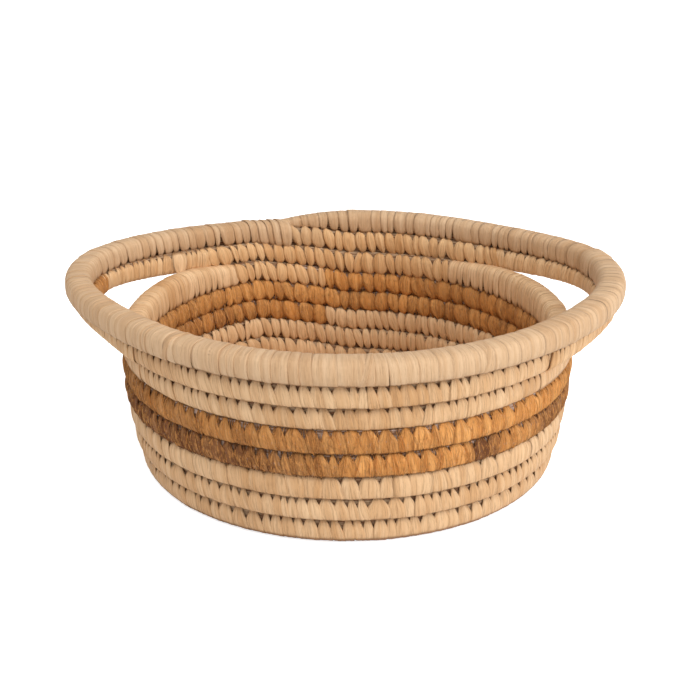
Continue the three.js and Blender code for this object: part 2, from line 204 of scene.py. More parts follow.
class Coil:
    """The wrapped rope: where it lies and how thick it is at each angle."""

    def __init__(self, sizes):
        self.sizes = sizes
        pitch = sizes.coil_width + ROW_GAP
        self.pitch = pitch
        self.foot_turn = round((sizes.foot_radius - KNOT_RADIUS) / pitch - 0.5)
        self.base_pitch = (sizes.foot_radius - pitch / 2 - KNOT_RADIUS) / self.foot_turn
        self.bark_turn = self.foot_turn + LOWER_ROWS
        self.shoulder_turn = self.bark_turn + BARK_ROWS
        self.under_rim_turn = self.shoulder_turn + UPPER_ROWS
        self.rim_turn = self.under_rim_turn + 1
        self.heights = np.array(
            [sizes.foot_height]
            + [sizes.row_height] * (LOWER_ROWS - 1)
            + [sizes.bark_row_height] * BARK_ROWS
            + [sizes.row_height] * (UPPER_ROWS + 1)
            + [sizes.rim_height]
        )
        self.bottoms = np.concatenate([[0], np.cumsum(self.heights[:-1] + ROW_GAP)])
        self.handles_from = TURN * self.under_rim_turn + STEP_MIDDLE + STEP_SPAN

    def row(self, turn):
        """The number of a wall row, counted from the foot."""
        return np.clip(turn - self.foot_turn, 0, len(self.heights) - 1).astype(int)

    def step_span(self, turn):
        return TURN * (STEP_SPAN / TURN) ** np.clip(turn / self.foot_turn, 0, 1)

    def step_at(self, angle):
        """The turn that the rope is on, and how far it has stepped to it."""
        on_wall = angle > TURN * (self.foot_turn + 0.5) + BASE_STEP_MIDDLE
        step_middle = np.where(on_wall, STEP_MIDDLE, BASE_STEP_MIDDLE)
        turn = np.floor((angle - step_middle) / TURN + 0.5)
        past = angle - step_middle - TURN * turn
        return turn, np.clip(past / self.step_span(turn) + 0.5, 0, 1)

    def out_of_wall(self, angle):
        """How far out of the wall a handle's lower row is, from 0 in the wall to 1 at its middle."""
        return np.maximum(*(handle_share(handle, "under_rim", angle) for handle in HANDLES))

    def clear_of_wall(self, angle):
        """The same, but 0 until it is half way out."""
        return np.clip(2 * self.out_of_wall(angle) - 1, 0, 1)

    def row_edges(self, turn, angle):
        """The heights between which a wall row lies."""
        dip = swell(angle_past(angle, DIP_MIDDLE), DIP_SPREAD)
        clear = self.clear_of_wall(angle)
        leaving = self.out_of_wall(angle)
        bulge = sum(swell(angle_past(angle, each["bulge"]), each["bulge_spread"]) for each in HANDLES)
        bottom = self.bottoms[self.row(turn)]
        top = bottom + self.heights[self.row(turn)]
        rim = turn == self.rim_turn
        under_rim = turn == self.under_rim_turn
        shoulder = turn == self.shoulder_turn
        bottom = bottom - rim * dip * RIM_DIP
        bottom = bottom + under_rim * (leaving * HANDLE_ROW_THINNING - dip * UNDER_RIM_DIP)
        top = top - (rim | under_rim) * dip * RIM_DIP
        top = top + shoulder * (clear * BARE_ROW_RISE + bulge * SHOULDER_BULGE - dip * UNDER_RIM_DIP)
        return bottom, top

    def row_radius(self, turn, angle):
        """From the axis to the middle of a wall row, with the reach of the handles."""
        sizes = self.sizes
        middles = self.bottoms + self.heights / 2
        shoulder = self.shoulder_turn - self.foot_turn
        below = middles[shoulder] - middles[self.row(turn)]
        share = np.maximum(below, 0) / (middles[shoulder] - middles[0])
        wall = sizes.wall_radius - (sizes.wall_radius - sizes.foot_radius) * share**WALL_FLARE
        under_rim = sizes.under_rim_radius + self.handle_sum("under_rim", "reach", angle)
        rim = sizes.rim_radius + self.handle_sum("rim", "reach", angle)
        return np.where(turn >= self.rim_turn, rim, np.where(turn == self.under_rim_turn, under_rim, wall))

    def handle_sum(self, row, size, angle, plain=0):
        """What both handles add at this angle to a plain size of a row."""
        return sum((handle[row][size] - plain) * handle_share(handle, row, angle) for handle in HANDLES)

    def row_width(self, turn, angle):
        coil, rim = self.sizes.coil_width, self.sizes.rim_width
        under_rim = coil + self.handle_sum("under_rim", "width", angle, coil)
        top = rim + self.handle_sum("rim", "width", angle, rim)
        return np.where(turn >= self.rim_turn, top, np.where(turn == self.under_rim_turn, under_rim, coil))

    def base_edge(self, angle):
        turn, done = self.step_at(angle)
        return KNOT_RADIUS + self.base_pitch * np.maximum(turn - 1 + done, 0)

    def base_shape(self, angle, turn, done):
        inner = self.base_edge(angle)
        onwards = mix(self.base_pitch, self.pitch, done)
        outer = np.where(turn < self.foot_turn, self.base_edge(angle + TURN), inner + onwards)
        width = outer - inner - ROW_GAP
        tapered = np.clip(width / (self.base_pitch - ROW_GAP), 0, 1)
        height = self.sizes.row_height * np.where(turn > 0, 1, tapered)
        height = np.where(turn < self.foot_turn, height, mix(height, self.sizes.foot_height, done))
        return np.stack([(inner + outer) / 2, height / 2, width / 2, height / 2])

    def wall_shape(self, angle, turn, done):
        low = turn - 1
        high = np.minimum(turn, self.rim_turn)
        low_bottom, low_top = self.row_edges(low, angle)
        high_bottom, high_top = self.row_edges(high, angle)
        bottom = mix(low_bottom, high_bottom, done)
        top = mix(low_top, high_top, done)
        radius = mix(self.row_radius(low, angle), self.row_radius(high, angle), done)
        width = mix(self.row_width(low, angle), self.row_width(high, angle), done)
        return np.stack([radius, (bottom + top) / 2, width / 2, (top - bottom) / 2])

    def end_shape(self, angle, done):
        """The rim thins from below to its end."""
        low_bottom, low_top = self.row_edges(np.full_like(done, self.rim_turn), angle)
        height = np.maximum(mix(low_top - low_bottom, -ROW_GAP, done), END_TIP_THICKNESS)
        share = np.clip(height / self.sizes.rim_height, 0, 1)
        width = mix(END_TIP_THICKNESS, self.sizes.rim_width, share)
        radius = self.sizes.rim_radius + self.handle_sum("rim", "reach", angle)
        return np.stack([radius, low_top - END_SINK * done**2 - height / 2, width / 2, height / 2])

    def shape(self, angle):
        """Radius, middle height, half width and half height of the rope at each angle."""
        turn, done = self.step_at(angle)
        base = self.base_shape(angle, turn, done)
        wall = self.wall_shape(angle, np.maximum(turn, self.foot_turn + 1), done)
        end = self.end_shape(angle, done)
        shape = np.where(turn <= self.foot_turn, base, np.where(turn > self.rim_turn, end, wall))
        low = np.clip(1 - shape[1] / FLAT_BELOW, 0, 1) * (shape[0] / self.sizes.foot_radius) ** 4
        shape[0] -= FRONT_FLATNESS * low * swell(angle_past(angle, FRONT), FRONT_SPREAD)
        return shape

    def slope(self, angle):
        """How steeply the rope runs outward: metres out for each metre round."""
        growth = self.shape(angle + SLOPE_STEP)[0] - self.shape(angle - SLOPE_STEP)[0]
        return growth / math.radians(2 * SLOPE_STEP) / np.maximum(self.shape(angle)[0], KNOT_RADIUS)

    def run(self, angle):
        """Metres of rope in a radian at each angle."""
        return self.shape(angle)[0] * np.hypot(1, self.slope(angle))

    def section(self, angle):
        """Middle point, outward direction, half width and half height of the rope at each angle."""
        radius, middle, half_width, half_height = self.shape(angle)
        around = np.radians(angle)
        facing = around - np.where(angle > self.handles_from, np.arctan(self.slope(angle)), 0)
        centre = np.stack([radius * np.cos(around), radius * np.sin(around), middle], -1)
        outward = np.stack([np.cos(facing), np.sin(facing), np.zeros_like(facing)], -1)
        return centre, outward, half_width, half_height


def smooth_line(points, rounds=3):
    """Rounds a line by cutting its corners, and keeps its ends."""
    line = np.array(points, float)
    for _ in range(rounds):
        cut = np.empty((2 * len(line) - 2, line.shape[1]))
        cut[0::2] = mix(line[:-1], line[1:], 0.25)
        cut[1::2] = mix(line[:-1], line[1:], 0.75)
        line = np.vstack([line[:1], cut, line[-1:]])
    return line


class Profile:
    """The line that a strap follows round the rope.

    Its points are half widths outward, half heights up, and the strap's width as a share of its full one.
    """

    def __init__(self, points):
        line = smooth_line(points)
        across, up, self.widths = line.T
        run = np.hypot(np.diff(across), np.diff(up))
        self.along = np.concatenate([[0], np.cumsum(run)]) / run.sum()
        self.across, self.up = across, up
        self.length = run.sum()
        facing = np.stack([np.gradient(up, self.along), -np.gradient(across, self.along)])
        self.facing = facing / np.linalg.norm(facing, axis=0)

    def at(self, along):
        """Across, up, width share and the two parts of the outward normal, at shares of the length.

        A share below 0 lies before the first point, straight on.
        """
        read = lambda values: np.interp(along, self.along, values)
        before = np.minimum(along, 0) * self.length
        out, rise = self.facing[:, 0]
        across = read(self.across) + before * rise * -1
        up = read(self.up) + before * out
        return across, up, read(self.widths), read(self.facing[0]), read(self.facing[1])


def outside(line, widths):
    return Profile([(across, up, width) for (across, up), width in zip(line, widths)])


# Outside the wall a strap is widest at its hem, which hangs over the row below, and narrow at its top.
WALL_LINE = (
    (0.60, -1.04), (0.78, -0.92), (0.91, -0.66), (0.97, -0.28), (0.98, 0.06),
    (0.95, 0.32), (0.90, 0.56), (0.82, 0.76), (0.70, 0.92), (0.46, 1.04),
)
WALL_OUTSIDE = outside(WALL_LINE, (1.14, 1.18, 1.20, 1.20, 1.16, 1.02, 0.80, 0.57, 0.42, 0.32))
BROAD_OUTSIDE = outside(WALL_LINE, (1.14, 1.18, 1.18, 1.18, 1.18, 1.16, 1.10, 0.96, 0.78, 0.60))
# Inside the wall it is a petal, with a round top and a pointed foot.
WALL_INSIDE = Profile([
    (-0.30, 1.02, 0.42),
    (-0.62, 1.02, 0.62),
    (-0.88, 0.86, 0.86),
    (-1.01, 0.48, 1.10),
    (-1.05, 0.00, 1.18),
    (-1.03, -0.40, 1.06),
    (-0.96, -0.76, 0.74),
    (-0.83, -1.02, 0.40),
    (-0.62, -1.16, 0.22),
])
FOOT_OUTSIDE = Profile([
    (0.10, -1.00, 0.80),
    (0.34, -0.98, 0.90),
    (0.60, -0.86, 1.02),
    (0.82, -0.62, 1.12),
    (0.94, -0.30, 1.18),
    (0.98, 0.02, 1.16),
    (0.96, 0.26, 1.08),
    (0.91, 0.48, 0.92),
    (0.84, 0.68, 0.72),
    (0.74, 0.86, 0.52),
    (0.50, 1.00, 0.38),
])
# The rim's leaf goes up outside, over the top and down inside, where narrow slits open at its foot.
RIM_OVER = Profile([
    (0.68, -1.05, 1.10),
    (0.87, -0.92, 1.14),
    (1.00, -0.62, 1.16),
    (1.04, -0.20, 1.16),
    (1.02, 0.25, 1.16),
    (0.90, 0.74, 1.16),
    (0.52, 0.98, 1.16),
    (0.00, 1.00, 1.16),
    (-0.52, 0.98, 1.16),
    (-0.90, 0.74, 1.18),
    (-1.03, 0.25, 1.18),
    (-1.05, -0.30, 1.08),
    (-1.00, -0.74, 0.86),
    (-0.88, -1.02, 0.60),
    (-0.70, -1.14, 0.40),
])
# A binding at the root of a handle reaches down over the next row, and ends in a point.
BINDING = Profile([
    (-0.50, 1.00, 0.80),
    (-0.96, 0.72, 1.05),
    (-1.08, 0.00, 1.15),
    (-1.08, -0.60, 0.95),
    (-1.14, -1.10, 0.62),
    (-1.20, -1.60, 0.30),
])


def round_profile(start, end, power, width=1.14, top_width=1.14, outer=1, sides=24):
    """A line round a full, rounded section, from one angle to another.

    It has its own width at the top, and stands out by its own share outside.
    """
    turned = np.radians(np.linspace(start, end, sides + 1))
    across = np.sign(np.cos(turned)) * np.abs(np.cos(turned)) ** power
    across = across * np.where(across > 0, outer, 1)
    up = np.sign(np.sin(turned)) * np.abs(np.sin(turned)) ** power
    narrowed = np.where(across > 0, np.clip(2 * up - 0.5, 0, 1), np.maximum(np.sin(turned), 0) ** 3)
    return Profile(np.stack([across, up, mix(width, top_width, narrowed)], -1))


HANDLE_ROUND = round_profile(90, 450, 0.55, top_width=0.34, outer=1.1)
BASE_ROUND = round_profile(150, 510, 0.6, outer=1.05)


@dataclass(frozen=True)
class StrapStyle:
    """How straps of one kind lie on the rope. Lengths are in metres."""

    steps: int = 14
    crown: float = 0.06 * MM  # how far the middle stands over the edges at the first end
    tip_crown: float = 0.4 * MM  # the same at the last end
    fold: float = 0.08 * MM  # how deep the folds along it are
    tilt: float = 0.06 * MM  # how far it tips over its neighbour
    loose: float = 0.07 * MM  # how unevenly high neighbours lie
    lean: float = 1.6 * MM  # how far its last end lies back along the rope
    sway: float = 0.8 * MM  # how much straps differ in that
    tips: float = 0.38  # how much straps differ in the width of their last end
    merged: float = 0.05  # share of the straps whose last end stays wide
    hem: float = 0.35 * MM  # how unevenly the first ends lie
    rounding: float = 0.3 * MM  # how far the corners of both ends are cut back
    lift: float = 0.0  # how far all of it lies above its profile


class Weave:
    """Collects straps and makes one mesh of them.

    Each strap is a closed thin shell: rings of points across it, one after another along its profile.
    """

    STRAP_CROSS = np.array(
        [[-1, 1], [-0.67, 1], [-0.33, 1], [0, 1], [0.33, 1], [0.67, 1], [1, 1], [0.94, 0], [-0.94, 0]]
    )
    FIBRE_CROSS = np.array([[-1, 0], [0, 1], [1, 0]])
    MERGED_WIDTH = 1.9  # width of a last end that stays wide
    GRID = 400  # points at which a stretch of rope is measured

    def __init__(self, coil, seed, thickness=0.5 * MM):
        self.coil = coil
        self.rng = np.random.default_rng(seed)
        self.thickness = thickness
        self.groups = []

    def spread(self, start, end, pitch, unevenness=0.16):
        """Middle angles and widths of straps that fill a stretch side by side."""
        angles = np.linspace(start, end, self.GRID)
        run = self.coil.run(angles)
        metres = np.concatenate([[0], np.cumsum((run[1:] + run[:-1]) / 2 * np.diff(np.radians(angles)))])
        parts = self.rng.lognormal(0, unevenness, max(round(metres[-1] / pitch), 1))
        edges = np.concatenate([[0], np.cumsum(parts / parts.sum())]) * metres[-1]
        return np.interp((edges[1:] + edges[:-1]) / 2, metres, angles), np.diff(edges)

    def leaf_tints(self, count, run=0.25, own=0.35):
        """A tint for each strap. Straps cut from one leaf lie next to each other and are alike."""
        leaf = np.cumsum(self.rng.random(count) < run)
        return mix(self.rng.random(leaf[-1] + 1)[leaf], self.rng.random(count), own)

    def lay(self, straps, profile, style, tones=None, cross=STRAP_CROSS):
        """Lays one strap at each middle angle, from its first end to its last one along the profile."""
        rng = self.rng
        middles, widths = straps
        count = len(middles)
        each = (count, 1, 1)
        sideways_share, on_top = cross.T
        _, _, half_width, half_height = self.coil.shape(middles)
        length = (profile.length * (half_width + half_height) / 2)[:, None]
        rings = np.linspace(0, 1, style.steps)
        along = mix(rng.normal(0, 1, (count, 1)) * style.hem / length, 1, rings)
        rounded = style.rounding / length * (np.exp(-8 * rings) - np.exp(8 * rings - 8))
        along = along[..., None] + rounded[..., None] * sideways_share**2
        across, up, share, face_out, face_up = profile.at(along)
        rings = rings[:, None]
        tip = 1 + rng.uniform(-style.tips, style.tips, each)
        tip = np.where(rng.random(each) < style.merged, self.MERGED_WIDTH, tip)
        half = widths[:, None, None] / 2 * share * mix(1, tip, rings**2)
        drift = (rng.normal(0, 1, each) * style.sway - style.lean) * (rings - 0.5)
        sideways = half * sideways_share + drift
        angle = middles[:, None, None] + np.degrees(sideways / self.coil.run(middles)[:, None, None])
        centre, outward, half_width, half_height = self.coil.section(angle)
        crown = mix(style.crown, style.tip_crown, rings**2)
        inner = 1 - sideways_share**2
        folds = inner * np.cos(rng.uniform(3, 6, each) * sideways_share + rng.uniform(0, 2 * math.pi, each))
        raised = crown * inner + style.tilt * sideways_share + style.fold * folds
        raised = raised + style.lift + rng.exponential(style.loose, each)
        height = np.where(on_top > 0, raised, raised - self.thickness)
        points = centre + outward * (half_width * across + face_out * height)[..., None]
        points[..., 2] = np.maximum(points[..., 2] + half_height * up + face_up * height, 0)
        crosswise = widths[:, None, None] / 2 * sideways_share + np.zeros_like(half)
        grain = np.stack([crosswise, along * length[..., None]], -1)
        grain = grain / MM + rng.uniform(0, 400, (count, 1, 1, 2))
        looks = (
            self.leaf_tints(count)[:, None, None],
            sideways_share / 2 + 0.5,
            rings,
            (np.zeros(count) if tones is None else tones)[:, None, None],
        )
        look = np.stack([np.zeros_like(across) + part for part in looks], -1)
        self.groups.append((points, grain, look))

    def mesh(self, name):
        """One mesh of all the straps, with grain coordinates in millimetres and each strap's look."""
        made = bpy.data.meshes.new(name)
        points, grain, look, faces = [], [], [], []
        first = 0
        for group, lines, looks in self.groups:
            count, steps, sides, _ = group.shape
            index = first + np.arange(count * steps * sides).reshape(count, steps, sides)
            onward = np.roll(index, -1, 2)
            faces.append(
                np.stack([index[:, :-1], onward[:, :-1], onward[:, 1:], index[:, 1:]], -1).reshape(-1, 4)
            )
            faces.append(np.concatenate([index[:, 0, ::-1], index[:, -1]]))
            points.append(group.reshape(-1, 3))
            grain.append(lines.reshape(-1, 2))
            look.append(looks.reshape(-1, 4))
            first += count * steps * sides
        points, grain, look = np.concatenate(points), np.concatenate(grain), np.concatenate(look)
        corners = np.concatenate([part.ravel() for part in faces])
        sizes = np.concatenate([np.full(len(part), part.shape[1]) for part in faces])
        made.vertices.add(len(points))
        made.vertices.foreach_set("co", points.astype(np.float32).ravel())
        made.loops.add(len(corners))
        made.loops.foreach_set("vertex_index", corners.astype(np.int32))
        made.polygons.add(len(sizes))
        made.polygons.foreach_set("loop_start", np.concatenate([[0], np.cumsum(sizes)[:-1]]).astype(np.int32))
        made.polygons.foreach_set("use_smooth", np.ones(len(sizes), bool))
        made.update(calc_edges=True)
        layer = made.uv_layers.new(name="grain")
        layer.uv.foreach_set("vector", grain[corners].astype(np.float32).ravel())
        looks = made.attributes.new("strap_look", "FLOAT_COLOR", "POINT")
        looks.data.foreach_set("color", look.astype(np.float32).ravel())
        made.validate()
        return made


def place(name, mesh, material, slot, *nodes):
    """Puts a mesh in the scene as a piece of the basket that stands for these nodes."""
    piece = bpy.data.objects.new(name, mesh)
    bpy.context.scene.collection.objects.link(piece)
    mesh.materials.append(material)
    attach(piece, BODY)
    if nodes:
        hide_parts(*nodes)
    return piece


def add_node(tree, kind, **settings):
    made = tree.nodes.new(kind)
    for name, value in settings.items():
        setattr(made, name, value)
    return made


def feed(tree, socket, source):
    """Links a source to a socket, or sets the socket to it if it is a plain value."""
    if isinstance(source, bpy.types.NodeSocket):
        tree.links.new(source, socket)
    else:
        socket.default_value = source


def calculate(tree, operation, a, b=0.0, clamp=False):
    made = add_node(tree, "ShaderNodeMath", operation=operation, use_clamp=clamp)
    feed(tree, made.inputs[0], a)
    feed(tree, made.inputs[1], b)
    return made.outputs[0]


def blend_colours(tree, share, a, b, how="MIX"):
    made = add_node(tree, "ShaderNodeMix", data_type="RGBA", blend_type=how, clamp_factor=True)
    feed(tree, made.inputs["Factor"], share)
    feed(tree, made.inputs[6], a)
    feed(tree, made.inputs[7], b)
    return made.outputs[2]


def noise(tree, vector, scale, detail=3.0, roughness=0.5, size="3D"):
    made = add_node(tree, "ShaderNodeTexNoise", noise_dimensions=size)
    feed(tree, made.inputs["Vector"], vector)
    feed(tree, made.inputs["Scale"], scale)
    feed(tree, made.inputs["Detail"], detail)
    feed(tree, made.inputs["Roughness"], roughness)
    return made.outputs["Fac"]


def stretch(tree, vector, scale):
    made = add_node(tree, "ShaderNodeVectorMath", operation="MULTIPLY")
    feed(tree, made.inputs[0], vector)
    feed(tree, made.inputs[1], scale)
    return made.outputs[0]


def ranged(tree, value, low, high, to_low=0.0, to_high=1.0):
    made = add_node(tree, "ShaderNodeMapRange", interpolation_type="SMOOTHSTEP")
    for socket, source in zip(made.inputs, (value, low, high, to_low, to_high)):
        feed(tree, socket, source)
    return made.outputs[0]


def new_group(name, inputs, outputs):
    """A shader node group with named sockets, each given as a name, a kind and a default."""
    group = bpy.data.node_groups.new(name, "ShaderNodeTree")
    for title, kind, default in inputs:
        socket = group.interface.new_socket(title, in_out="INPUT", socket_type=kind)
        if default is not None:
            socket.default_value = default
    for title, kind in outputs:
        group.interface.new_socket(title, in_out="OUTPUT", socket_type=kind)
    return group, add_node(group, "NodeGroupInput").outputs, add_node(group, "NodeGroupOutput").inputs


def fibre_group():
    """Fine fibres that run along a strap: their colour mask and their height."""
    if "Fibre grain" in bpy.data.node_groups:
        return bpy.data.node_groups["Fibre grain"]
    group, given, result = new_group(
        "Fibre grain",
        [("Grain", "NodeSocketVector", None), ("Fibres per mm", "NodeSocketFloat", 1.5),
         ("Waviness", "NodeSocketFloat", 0.3)],
        [("Fibre", "NodeSocketFloat"), ("Band", "NodeSocketFloat"), ("Height", "NodeSocketFloat")],
    )
    bend = noise(group, stretch(group, given["Grain"], (0.25, 0.12, 1)), 1.0, 2.0)
    bend = calculate(group, "MULTIPLY", calculate(group, "SUBTRACT", bend, 0.5), given["Waviness"])
    bent = add_node(group, "ShaderNodeVectorMath", operation="ADD")
    offset = add_node(group, "ShaderNodeCombineXYZ")
    feed(group, offset.inputs[0], bend)
    feed(group, bent.inputs[0], given["Grain"])
    feed(group, bent.inputs[1], offset.outputs[0])
    drawn = stretch(group, bent.outputs[0], (1, 0.05, 1))
    fine = noise(group, drawn, given["Fibres per mm"], 5.0, 0.7, "2D")
    broad = noise(group, drawn, calculate(group, "MULTIPLY", given["Fibres per mm"], 0.3), 2.0, 0.5, "2D")
    feed(group, result["Fibre"], ranged(group, fine, 0.3, 0.7))
    feed(group, result["Band"], ranged(group, broad, 0.3, 0.7))
    height = calculate(group, "ADD", fine, calculate(group, "MULTIPLY", broad, 0.8))
    feed(group, result["Height"], height)
    return group


def strap_group():
    """What each strap carries: its own tint and tone, and masks for its edges and for the painted shade at
    its hem and its tucked end.
    """
    if "Strap look" in bpy.data.node_groups:
        return bpy.data.node_groups["Strap look"]
    group, given, result = new_group(
        "Strap look",
        [("Edge width", "NodeSocketFloat", 0.2), ("Hem", "NodeSocketFloat", 0.13)],
        [("Tint", "NodeSocketFloat"), ("Tone", "NodeSocketFloat"), ("Edge", "NodeSocketFloat"),
         ("Seam", "NodeSocketFloat")],
    )
    look = add_node(group, "ShaderNodeAttribute", attribute_name="strap_look")
    parts = add_node(group, "ShaderNodeSeparateColor")
    feed(group, parts.inputs[0], look.outputs["Color"])
    from_middle = calculate(group, "ABSOLUTE", calculate(group, "SUBTRACT", parts.outputs[1], 0.5))
    from_edge = calculate(group, "SUBTRACT", 0.5, from_middle)
    feed(group, result["Tint"], parts.outputs[0])
    # painted shade: darker at the hem, where the strap curls under, and at its tucked last end
    hem = ranged(group, parts.outputs[2], given["Hem"], calculate(group, "MULTIPLY", given["Hem"], 0.4))
    tucked = ranged(group, parts.outputs[2], 0.9, 0.97)
    feed(group, result["Seam"], calculate(group, "ADD", hem, tucked, clamp=True))
    feed(group, result["Tone"], look.outputs["Alpha"])
    inner = ranged(group, from_edge, 0.0, given["Edge width"])
    feed(group, result["Edge"], calculate(group, "SUBTRACT", 1.0, inner))
    return group


def use_group(tree, group, **values):
    made = add_node(tree, "ShaderNodeGroup", node_tree=group)
    for name, value in values.items():
        feed(tree, made.inputs[name.replace("_", " ")], value)
    return made.outputs


def start_material(name, roughness, specular):
    """A material with its shader and the grain coordinates."""
    made = bpy.data.materials.new(name)
    made.use_nodes = True
    tree = made.node_tree
    shader = tree.nodes["Principled BSDF"]
    shader.inputs["Roughness"].default_value = roughness
    shader.inputs["Specular IOR Level"].default_value = specular
    grain = add_node(tree, "ShaderNodeUVMap", uv_map="grain").outputs[0]
    return made, tree, shader, grain


def set_bump(tree, shader, height, distance, strength=1.0):
    bump = add_node(tree, "ShaderNodeBump")
    bump.inputs["Strength"].default_value = strength
    bump.inputs["Distance"].default_value = distance
    feed(tree, bump.inputs["Height"], height)
    tree.links.new(bump.outputs[0], shader.inputs["Normal"])


def rgba(value):
    return (*value, 1.0)


INSIDE_PAINTED_SHADE = (1.02, 0.97, 0.87, 1)  # palm leaf inside is multiplied by it: painted shade, darker and warmer inside the basket
SEAM_SHADE = 0.6  # how dark the painted shade makes a strap at its hem and its tucked end
PALM_BUMP = 0.65 * MM
BARK_BUMP = 0.9 * MM
GRASS_BUMP = 0.8 * MM
FOOT_SHADE_AND_WEAR_ABOVE, FOOT_SHADE_AND_WEAR_BELOW = 4.0 * MM, 2.0 * MM  # between these heights the foot is painted darker: painted shade of its underside, and wear


def palm_material(name, light, deep, crease, streaks, hem):
    """Dry split palm leaf: pale, with fine fibres along it, and darker where it stands on the table, from
    painted shade and wear.
    """
    if name in bpy.data.materials:
        return bpy.data.materials[name]
    made, tree, shader, grain = start_material(name, 0.58, 0.25)
    fibre = use_group(tree, fibre_group(), Grain=grain, Fibres_per_mm=1.3, Waviness=0.6)
    strap = use_group(tree, strap_group(), Edge_width=0.1, Hem=hem)
    place_on = add_node(tree, "ShaderNodeTexCoord").outputs["Object"]
    patch = noise(tree, place_on, 22.0, 2.0)
    share = calculate(tree, "MULTIPLY", calculate(tree, "POWER", strap["Tint"], 2.0), 0.6)
    share = calculate(tree, "ADD", share, calculate(tree, "MULTIPLY", fibre["Band"], 0.45))
    share = calculate(tree, "ADD", share, calculate(tree, "MULTIPLY", ranged(tree, patch, 0.3, 0.7), 0.2))
    shade = blend_colours(tree, share, rgba(light), rgba(deep))
    fine = calculate(tree, "MULTIPLY", ranged(tree, fibre["Fibre"], 0.55, 0.0), streaks)
    shade = blend_colours(tree, fine, shade, rgba(crease))
    edge = calculate(tree, "MULTIPLY", strap["Edge"], 0.06)
    shade = blend_colours(tree, edge, shade, rgba(crease))
    # painted shade: palm leaf inside the basket and round the handles is darker and warmer
    shade = blend_colours(tree, strap["Tone"], shade, INSIDE_PAINTED_SHADE, "MULTIPLY")
    # painted shade at the strap's hem and its tucked end
    shade = blend_colours(tree, calculate(tree, "MULTIPLY", strap["Seam"], SEAM_SHADE), shade, rgba(crease))
    height = add_node(tree, "ShaderNodeSeparateXYZ")
    feed(tree, height.inputs[0], place_on)
    # painted shade and wear, darker towards the table
    foot_shade_and_wear = calculate(tree, "MULTIPLY", ranged(tree, height.outputs[2], FOOT_SHADE_AND_WEAR_ABOVE, FOOT_SHADE_AND_WEAR_BELOW), 0.9)
    shade = blend_colours(tree, foot_shade_and_wear, shade, rgba(crease))
    feed(tree, shader.inputs["Base Color"], shade)
    set_bump(tree, shader, fibre["Height"], PALM_BUMP)
    return made


def bark_material(name, light, deep, dark, glint):
    """Fibrous bark: orange-brown strips with dark and pale flecks along them."""
    if name in bpy.data.materials:
        return bpy.data.materials[name]
    made, tree, shader, grain = start_material(name, 0.55, 0.2)
    fibre = use_group(tree, fibre_group(), Grain=grain, Fibres_per_mm=1.5, Waviness=2.2)
    strap = use_group(tree, strap_group(), Edge_width=0.2)
    mottle = noise(tree, stretch(tree, grain, (1, 0.45, 1)), 0.55, 4.0, 0.65, "2D")
    share = calculate(tree, "ADD", calculate(tree, "MULTIPLY", strap["Tint"], 0.35),
                      calculate(tree, "MULTIPLY", fibre["Band"], 0.55))
    shade = blend_colours(tree, share, rgba(light), rgba(deep))
    tone = calculate(tree, "ADD", strap["Tone"], ranged(tree, mottle, 0.52, 0.75, 0.0, 0.35))
    strands = noise(tree, stretch(tree, grain, (1, 0.25, 1)), 0.9, 3.0, 0.6, "2D")
    golden = calculate(tree, "MULTIPLY", ranged(tree, strands, 0.5, 0.6), 0.55)
    tone = calculate(tree, "MULTIPLY", tone, calculate(tree, "SUBTRACT", 1.0, golden))
    shade = blend_colours(tree, tone, shade, rgba(dark))
    hollow = calculate(tree, "MULTIPLY", ranged(tree, fibre["Fibre"], 0.5, 0.0), 0.45)
    shade = blend_colours(tree, hollow, shade, rgba(dark))
    fleck = noise(tree, stretch(tree, grain, (1, 0.35, 1)), 1.1, 3.0, 0.6, "2D")
    pale = calculate(tree, "MULTIPLY", ranged(tree, fleck, 0.64, 0.74), 0.35)
    shade = blend_colours(tree, pale, shade, rgba(glint))
    # painted shade at the strap's hem and its tucked end
    shade = blend_colours(tree, calculate(tree, "MULTIPLY", strap["Seam"], SEAM_SHADE), shade, rgba(dark))
    feed(tree, shader.inputs["Base Color"], shade)
    set_bump(tree, shader, calculate(tree, "ADD", fibre["Height"], mottle), BARK_BUMP)
    return made


def grass_material(light, deep, glint):
    """Bundled dry grass, with painted shade on its darker stems: dark brown in the gaps between the straps
    and greyer between those of bark.
    """
    if "Dry grass" in bpy.data.materials:
        return bpy.data.materials["Dry grass"]
    made, tree, shader, grain = start_material("Dry grass", 0.8, 0.1)
    strap = use_group(tree, strap_group())
    stems = noise(tree, stretch(tree, grain, (1, 0.08, 1)), 0.8, 3.0, 0.6, "2D")
    share = ranged(tree, stems, 0.42, 0.62)
    pale = blend_colours(tree, strap["Tone"], rgba(light), rgba(glint))
    # stems mixed from painted light and painted shade
    feed(tree, shader.inputs["Base Color"], blend_colours(tree, share, rgba(deep), pale))
    set_bump(tree, shader, stems, GRASS_BUMP)
    return made


def materials_of(scene):
    """The materials by slot, made once."""
    colours = scene.basket_colours
    return {
        "palm_strip": palm_material(
            "Palm leaf", colours.palm_light, colours.palm_deep, colours.leaf_crease, 0.38, 0.13),
        "rim_palm": palm_material(
            "Rim leaf", colours.rim_light, colours.rim_deep, colours.leaf_crease, 0.22, 0.06),
        "amber_bark": bark_material(
            "Amber bark", colours.bark_gold, colours.bark_amber, colours.bark_dark, colours.bark_glint),
        "dark_bark": bark_material(
            "Dark bark", colours.bark_gold, colours.bark_amber, colours.bark_dark, colours.bark_glint),
        "grass": grass_material(colours.grass_light, colours.grass_shaded, colours.bark_glint),
    }


def join_of(turn):
    """Where the straps of one row end and those of the next begin."""
    return TURN * turn + STRIP_JOIN


